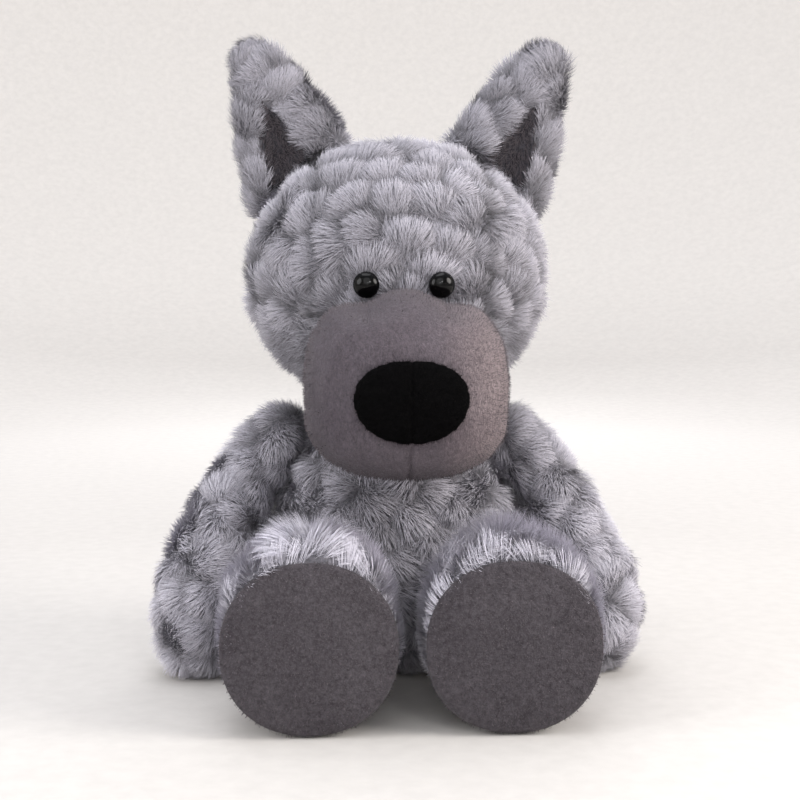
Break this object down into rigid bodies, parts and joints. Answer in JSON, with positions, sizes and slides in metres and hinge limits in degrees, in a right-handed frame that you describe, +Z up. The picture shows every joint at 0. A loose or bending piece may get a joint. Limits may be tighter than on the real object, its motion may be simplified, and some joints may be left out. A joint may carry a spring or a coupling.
{
  "type": "plush dog",
  "caption": "Sitting soft toy dog with a round head, broad short-pile muzzle, upright cupped ears and stuffed limbs that bend where they are sewn on.",
  "frame": {"origin": "on the surface that the toy sits on, under the middle of its overall box", "axes": "+Z up, +X towards the toy's own left, and the toy faces -Y"},
  "size_m": [0.269, 0.3, 0.3451],
  "materials": {
    "curled_plush": "matte",
    "short_plush": "matte",
    "nose_velvet": "matte",
    "eye_plastic": "gloss",
    "washer_plastic": "matte",
    "fibre": "matte"
  },
  "bodies": {
    "torso": {"chest_panel": "curled_plush", "back_panel_left": "curled_plush", "back_panel_right": "curled_plush", "seat_panel": "curled_plush", "torso_stuffing": "fibre"},
    "neck": {"neck_stuffing": "fibre"},
    "head": {"crown_panel": "curled_plush", "head_side_left": "curled_plush", "head_side_right": "curled_plush", "cheek_left": "short_plush", "cheek_right": "short_plush", "muzzle_bridge": "short_plush", "muzzle_side_left": "short_plush", "muzzle_side_right": "short_plush", "jaw_panel": "short_plush", "nose_pad": "nose_velvet", "eye_left": "eye_plastic", "eye_right": "eye_plastic", "eye_washer_left": "washer_plastic", "eye_washer_right": "washer_plastic", "head_stuffing": "fibre"},
    "ear_left": {"ear_shell_left": "curled_plush", "ear_lining_left": "short_plush"},
    "ear_right": {"ear_shell_right": "curled_plush", "ear_lining_right": "short_plush"},
    "arm_left": {"arm_front_left": "curled_plush", "arm_back_left": "curled_plush", "arm_stuffing_left": "fibre"},
    "arm_right": {"arm_front_right": "curled_plush", "arm_back_right": "curled_plush", "arm_stuffing_right": "fibre"},
    "leg_left": {"leg_upper_left": "curled_plush", "leg_lower_left": "curled_plush", "sole_left": "short_plush", "leg_stuffing_left": "fibre"},
    "leg_right": {"leg_upper_right": "curled_plush", "leg_lower_right": "curled_plush", "sole_right": "short_plush", "leg_stuffing_right": "fibre"},
    "tail": {"tail_upper": "curled_plush", "tail_lower": "curled_plush", "tail_stuffing": "fibre"}
  },
  "joints": [
    {"name": "neck_turn", "type": "hinge", "parent": "torso", "child": "neck", "pos_m": [0, 0.002, 0.146], "axis": [0, 0, 1], "range_deg": [-25, 25], "stiffness_Nm_per_rad": 0.4},
    {"name": "head_nod", "type": "hinge", "parent": "neck", "child": "head", "pos_m": [0, 0.002, 0.146], "axis": [-1, 0, 0], "range_deg": [-4, 20], "stiffness_Nm_per_rad": 1.5},
    {"name": "ear_left_flop", "type": "hinge", "parent": "head", "child": "ear_left", "pos_m": [0.0465, 0.006, 0.272], "axis": [0.907, 0, -0.421], "range_deg": [-20, 20], "stiffness_Nm_per_rad": 0.1},
    {"name": "ear_right_flop", "type": "hinge", "parent": "head", "child": "ear_right", "pos_m": [-0.0465, 0.006, 0.272], "axis": [0.907, 0, 0.421], "range_deg": [-20, 20], "stiffness_Nm_per_rad": 0.1},
    {"name": "shoulder_left", "type": "hinge", "parent": "torso", "child": "arm_left", "pos_m": [0.07, 0.013, 0.122], "axis": [0, -1, 0], "range_deg": [0, 85]},
    {"name": "shoulder_right", "type": "hinge", "parent": "torso", "child": "arm_right", "pos_m": [-0.07, 0.013, 0.122], "axis": [0, 1, 0], "range_deg": [0, 85]},
    {"name": "hip_left", "type": "hinge", "parent": "torso", "child": "leg_left", "pos_m": [0.047, -0.052, 0.042], "axis": [-1, 0, 0], "range_deg": [-50, 4]},
    {"name": "hip_right", "type": "hinge", "parent": "torso", "child": "leg_right", "pos_m": [-0.047, -0.052, 0.042], "axis": [-1, 0, 0], "range_deg": [-50, 4]},
    {"name": "tail_wag", "type": "hinge", "parent": "torso", "child": "tail", "pos_m": [0, 0.078, 0.021], "axis": [0, 0, 1], "range_deg": [-25, 25]}
  ]
}
